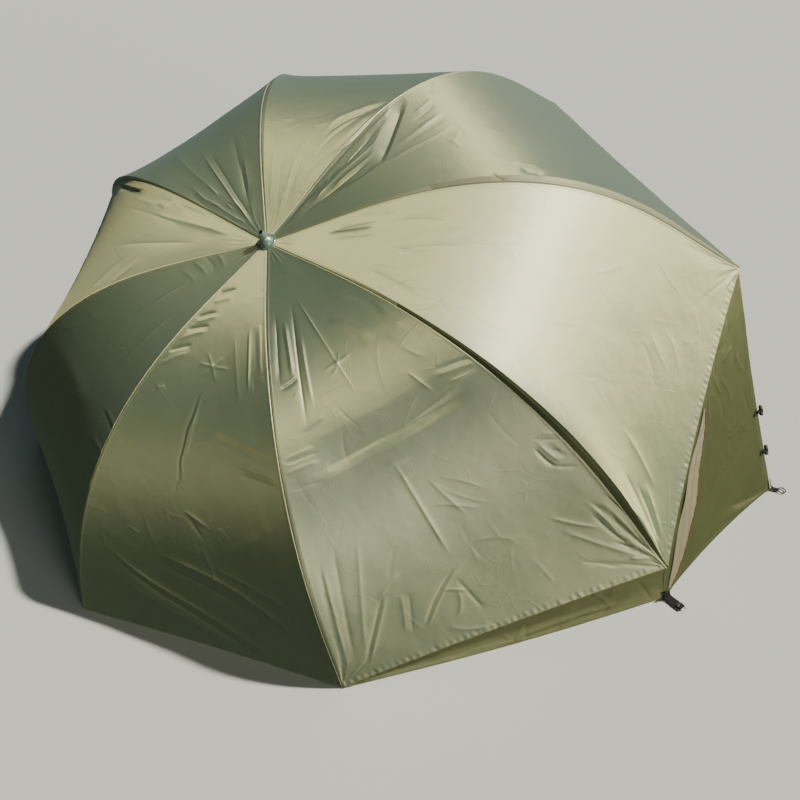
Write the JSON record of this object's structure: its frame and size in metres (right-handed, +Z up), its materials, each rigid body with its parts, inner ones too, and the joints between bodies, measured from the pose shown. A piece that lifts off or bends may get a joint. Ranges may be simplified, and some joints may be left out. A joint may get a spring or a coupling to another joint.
{
  "type": "fishing umbrella",
  "caption": "Fishing umbrella staked low and tilted back on its rear rim, with folding ribs, a telescopic spiked pole and pegged cloth side panels closing the rear and sides.",
  "frame": {"origin": "where the pole's axis enters the ground", "axes": "+Z up from flat ground, -Y towards the open front, +Y to the rear rim that rests on the ground; the umbrella is symmetric across the plane X = 0"},
  "size_m": [2.2686, 1.9254, 1.221],
  "materials": {
    "canopy_fabric": "coated nylon, soft sheen",
    "side_fabric": "coated nylon, soft sheen",
    "fibreglass": "semi gloss",
    "steel": "zinc plated",
    "dark_tube": "powder coated, satin",
    "nub_metal": "bright turned",
    "black_plastic": "matt",
    "pale_plastic": "matt"
  },
  "bodies": {
    "ground_pole": {"ground_spike": "steel", "lower_pole": "steel"},
    "head": {"upper_pole": "dark_tube", "pole_collar": "black_plastic", "crown": "black_plastic", "crown_ring": "steel", "canopy_washer": "black_plastic", "nub": "nub_metal"},
    "clamp": {"clamp_screw": "black_plastic"},
    "runner": {"runner": "black_plastic"},
    "runner_lock": {"runner_screw": "black_plastic"},
    "peg_left": {"peg_left": "steel"},
    "peg_right": {"peg_right": "steel"},
    "side_left": {"side_panel_left": "side_fabric", "toggle_upper_left": "black_plastic", "toggle_lower_left": "black_plastic"},
    "side_right": {"side_panel_right": "side_fabric", "toggle_upper_right": "black_plastic", "toggle_lower_right": "black_plastic"},
    "rib_1": {"rib_1": "fibreglass", "rib_clip_1": "black_plastic", "rib_tip_1": "pale_plastic", "canopy_gore_1": "canopy_fabric"},
    "strut_1": {"strut_1": "steel"},
    "rib_2": {"rib_2": "fibreglass", "rib_clip_2": "black_plastic", "rib_tip_2": "pale_plastic", "canopy_gore_2": "canopy_fabric"},
    "strut_2": {"strut_2": "steel"},
    "rib_3": {"rib_3": "fibreglass", "rib_clip_3": "black_plastic", "rib_tip_3": "pale_plastic", "canopy_gore_3": "canopy_fabric"},
    "strut_3": {"strut_3": "steel"},
    "rib_4": {"rib_4": "fibreglass", "rib_clip_4": "black_plastic", "rib_tip_4": "pale_plastic", "canopy_gore_4": "canopy_fabric"},
    "strut_4": {"strut_4": "steel"},
    "rib_5": {"rib_5": "fibreglass", "rib_clip_5": "black_plastic", "rib_tip_5": "pale_plastic", "canopy_gore_5": "canopy_fabric"},
    "strut_5": {"strut_5": "steel"},
    "rib_6": {"rib_6": "fibreglass", "rib_clip_6": "black_plastic", "rib_tip_6": "pale_plastic", "canopy_gore_6": "canopy_fabric"},
    "strut_6": {"strut_6": "steel"},
    "rib_7": {"rib_7": "fibreglass", "rib_clip_7": "black_plastic", "rib_tip_7": "pale_plastic", "canopy_gore_7": "canopy_fabric"},
    "strut_7": {"strut_7": "steel"},
    "rib_8": {"rib_8": "fibreglass", "rib_clip_8": "black_plastic", "rib_tip_8": "pale_plastic", "canopy_gore_8": "canopy_fabric"},
    "strut_8": {"strut_8": "steel"}
  },
  "joints": [
    {"name": "pole_extend", "type": "slide", "parent": "ground_pole", "child": "head", "axis": [0, 0.4296, 0.903], "range_m": [0, 0.24]},
    {"name": "canopy_fold", "type": "hinge", "parent": "head", "child": "rib_8", "pos_m": [0, 0.3332, 0.7389], "axis": [1, 0, 0], "range_deg": [0, 58], "deforming": ["canopy_gore_8"]},
    {"name": "rib_hinge_7", "type": "hinge", "parent": "head", "child": "rib_7", "pos_m": [-0.01167, 0.33757, 0.73682], "axis": [0.7071, -0.6385, 0.3037], "range_deg": [-1, 59], "deforming": ["canopy_gore_7"]},
    {"name": "rib_hinge_6", "type": "hinge", "parent": "head", "child": "rib_6", "pos_m": [-0.0165, 0.3481, 0.73181], "axis": [0, -0.903, 0.4296], "range_deg": [-1, 59], "deforming": ["canopy_gore_6"]},
    {"name": "rib_hinge_5", "type": "hinge", "parent": "head", "child": "rib_5", "pos_m": [-0.01167, 0.35864, 0.7268], "axis": [-0.7071, -0.6385, 0.3037], "range_deg": [-1, 59], "deforming": ["canopy_gore_5"]},
    {"name": "rib_hinge_4", "type": "hinge", "parent": "head", "child": "rib_4", "pos_m": [0, 0.363, 0.72472], "axis": [-1, 0, 0], "range_deg": [-1, 59], "deforming": ["canopy_gore_4"]},
    {"name": "rib_hinge_3", "type": "hinge", "parent": "head", "child": "rib_3", "pos_m": [0.01167, 0.35864, 0.7268], "axis": [-0.7071, 0.6385, -0.3037], "range_deg": [-1, 59], "deforming": ["canopy_gore_3"]},
    {"name": "rib_hinge_2", "type": "hinge", "parent": "head", "child": "rib_2", "pos_m": [0.0165, 0.3481, 0.73181], "axis": [0, 0.903, -0.4296], "range_deg": [-1, 59], "deforming": ["canopy_gore_2"]},
    {"name": "rib_hinge_1", "type": "hinge", "parent": "head", "child": "rib_1", "pos_m": [0.01167, 0.33757, 0.73682], "axis": [0.7071, 0.6385, -0.3037], "range_deg": [-1, 59], "deforming": ["canopy_gore_1"]},
    {"name": "runner_slide", "type": "slide", "parent": "head", "child": "runner", "axis": [0, 0.4296, 0.903], "range_m": [-0.3878, 0.004]},
    {"name": "strut_pivot_1", "type": "hinge", "parent": "rib_1", "child": "strut_1", "pos_m": [0.23259, 0.14218, 0.84037], "axis": [0.7071, 0.6385, -0.3037], "range_deg": [-86.44, 1]},
    {"name": "strut_pivot_2", "type": "hinge", "parent": "rib_2", "child": "strut_2", "pos_m": [0.32875, 0.35178, 0.73954], "axis": [0, 0.903, -0.4296], "range_deg": [-86.44, 1]},
    {"name": "strut_pivot_3", "type": "hinge", "parent": "rib_3", "child": "strut_3", "pos_m": [0.2324, 0.56145, 0.6393], "axis": [-0.7071, 0.6385, -0.3037], "range_deg": [-86.44, 1]},
    {"name": "strut_pivot_4", "type": "hinge", "parent": "rib_4", "child": "strut_4", "pos_m": [0, 0.649, 0.59879], "axis": [-1, 0, 0], "range_deg": [-86.44, 1]},
    {"name": "strut_pivot_5", "type": "hinge", "parent": "rib_5", "child": "strut_5", "pos_m": [-0.2324, 0.56145, 0.6393], "axis": [-0.7071, -0.6385, 0.3037], "range_deg": [-86.44, 1]},
    {"name": "strut_pivot_6", "type": "hinge", "parent": "rib_6", "child": "strut_6", "pos_m": [-0.32875, 0.35178, 0.73954], "axis": [0, -0.903, 0.4296], "range_deg": [-86.44, 1]},
    {"name": "strut_pivot_7", "type": "hinge", "parent": "rib_7", "child": "strut_7", "pos_m": [-0.23259, 0.14218, 0.84037], "axis": [0.7071, -0.6385, 0.3037], "range_deg": [-86.44, 1]},
    {"name": "strut_pivot_8", "type": "hinge", "parent": "rib_8", "child": "strut_8", "pos_m": [0, 0.05512, 0.88157], "axis": [1, 0, 0], "range_deg": [-86.44, 1]},
    {"name": "side_swing_left", "type": "hinge", "parent": "rib_6", "child": "side_left", "pos_m": [-1.06931, 0.10232, 0.15457], "axis": [0, -0.903, 0.4296], "range_deg": [-59, 1], "deforming": ["side_panel_left"]},
    {"name": "side_swing_right", "type": "hinge", "parent": "rib_2", "child": "side_right", "pos_m": [1.06931, 0.10232, 0.15457], "axis": [0, 0.903, -0.4296], "range_deg": [-59, 1], "deforming": ["side_panel_right"]},
    {"name": "clamp_turn", "type": "hinge", "parent": "head", "child": "clamp", "pos_m": [0, 0.05837, 0.12271], "axis": [0, 0.903, -0.4296], "range_deg": [0, 540]},
    {"name": "runner_lock_turn", "type": "hinge", "parent": "runner", "child": "runner_lock", "pos_m": [0, 0.24269, 0.51021], "axis": [0, 0.903, -0.4296], "range_deg": [0, 540]},
    {"name": "peg_pull_left", "type": "slide", "parent": "ground_pole", "child": "peg_left", "axis": [0, 0, 1], "range_m": [0, 0.17]},
    {"name": "peg_pull_right", "type": "slide", "parent": "ground_pole", "child": "peg_right", "axis": [0, 0, 1], "range_m": [0, 0.17]}
  ],
  "couplings": [
    {"joint": "rib_hinge_7", "follows": "canopy_fold", "ratio": 1},
    {"joint": "rib_hinge_6", "follows": "canopy_fold", "ratio": 1},
    {"joint": "rib_hinge_5", "follows": "canopy_fold", "ratio": 1},
    {"joint": "rib_hinge_4", "follows": "canopy_fold", "ratio": 1},
    {"joint": "rib_hinge_3", "follows": "canopy_fold", "ratio": 1},
    {"joint": "rib_hinge_2", "follows": "canopy_fold", "ratio": 1},
    {"joint": "rib_hinge_1", "follows": "canopy_fold", "ratio": 1},
    {"joint": "runner_slide", "follows": "canopy_fold", "m_per_rad": -0.37918},
    {"joint": "strut_pivot_1", "follows": "canopy_fold", "ratio": -1.4731},
    {"joint": "strut_pivot_2", "follows": "canopy_fold", "ratio": -1.4731},
    {"joint": "strut_pivot_3", "follows": "canopy_fold", "ratio": -1.4731},
    {"joint": "strut_pivot_4", "follows": "canopy_fold", "ratio": -1.4731},
    {"joint": "strut_pivot_5", "follows": "canopy_fold", "ratio": -1.4731},
    {"joint": "strut_pivot_6", "follows": "canopy_fold", "ratio": -1.4731},
    {"joint": "strut_pivot_7", "follows": "canopy_fold", "ratio": -1.4731},
    {"joint": "strut_pivot_8", "follows": "canopy_fold", "ratio": -1.4731},
    {"joint": "side_swing_left", "follows": "canopy_fold", "ratio": -1},
    {"joint": "side_swing_right", "follows": "canopy_fold", "ratio": -1}
  ]
}
